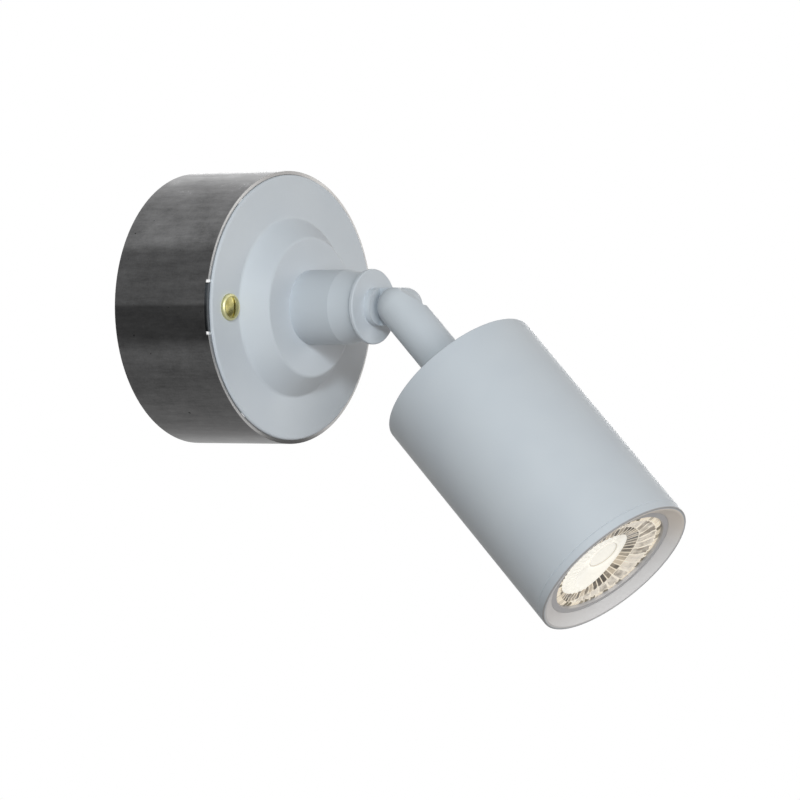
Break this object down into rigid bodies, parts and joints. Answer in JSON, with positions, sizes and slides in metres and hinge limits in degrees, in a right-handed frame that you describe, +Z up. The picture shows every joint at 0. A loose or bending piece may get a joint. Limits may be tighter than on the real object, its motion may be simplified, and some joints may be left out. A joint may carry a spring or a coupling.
{
  "type": "pivoting spotlight wall light",
  "caption": "Wall spotlight: open steel base ring with a white domed cover, swivelling stem joint, half-lap tilting knuckle and a cylindrical head with a reflector lamp.",
  "frame": {"origin": "centre of the two wall screw slots, on the wall plane, on the axis of the base ring", "axes": "+Y into the wall, -Y out into the room along the stem, +Z up, +X to the right of a person facing the wall"},
  "size_m": [0.0966, 0.1985, 0.1586],
  "materials": {
    "white_paint": "satin white powder coat",
    "raw_steel": "dark rolled steel, lengthwise bands",
    "zinc_steel": "zinc plated",
    "brass": "polished",
    "black_rubber": "matt",
    "white_plastic": "moulded",
    "ceramic": "fired steatite",
    "clear_lens": "clear, faceted",
    "grey_rim": "moulded"
  },
  "bodies": {
    "base": {"mounting_bracket": "zinc_steel", "ring_housing": "raw_steel", "cover_disc": "white_paint", "cover_screws": "brass", "cup_washers": "brass", "cover_nuts": "zinc_steel", "cable_bush": "black_rubber", "terminal_block": "white_plastic", "terminal_sleeves": "brass", "terminal_screws": "zinc_steel", "block_screw": "zinc_steel", "earth_stud": "zinc_steel", "earth_nuts": "brass", "stem": "white_paint", "stem_screws": "zinc_steel", "stop_pin": "zinc_steel"},
    "swivel": {"swivel_knuckle": "white_paint", "swivel_stop": "zinc_steel", "swivel_washer": "zinc_steel", "swivel_nut": "brass", "pivot_washer": "zinc_steel"},
    "head": {"knuckle_arm": "white_paint", "pivot_screw": "zinc_steel", "head_shell": "white_paint", "arm_lock_washer": "zinc_steel", "arm_nut": "brass", "holder_strap": "zinc_steel", "lamp_holder": "ceramic", "holder_contacts": "brass", "holder_screws": "zinc_steel", "holder_nuts": "zinc_steel", "lamp_housing": "white_plastic", "lamp_base": "white_plastic", "lamp_pins": "zinc_steel", "led_board": "white_plastic", "lamp_lens": "clear_lens", "lamp_rim": "grey_rim", "front_ring": "white_paint"}
  },
  "joints": [
    {"name": "stem_swivel", "type": "hinge", "parent": "base", "child": "swivel", "pos_m": [0, -0.07505, 0], "axis": [0, -1, 0], "range_deg": [-163, 163]},
    {"name": "head_tilt", "type": "hinge", "parent": "swivel", "child": "head", "pos_m": [0, -0.08815, 0], "axis": [1, 0, 0], "range_deg": [-135, 45]}
  ]
}
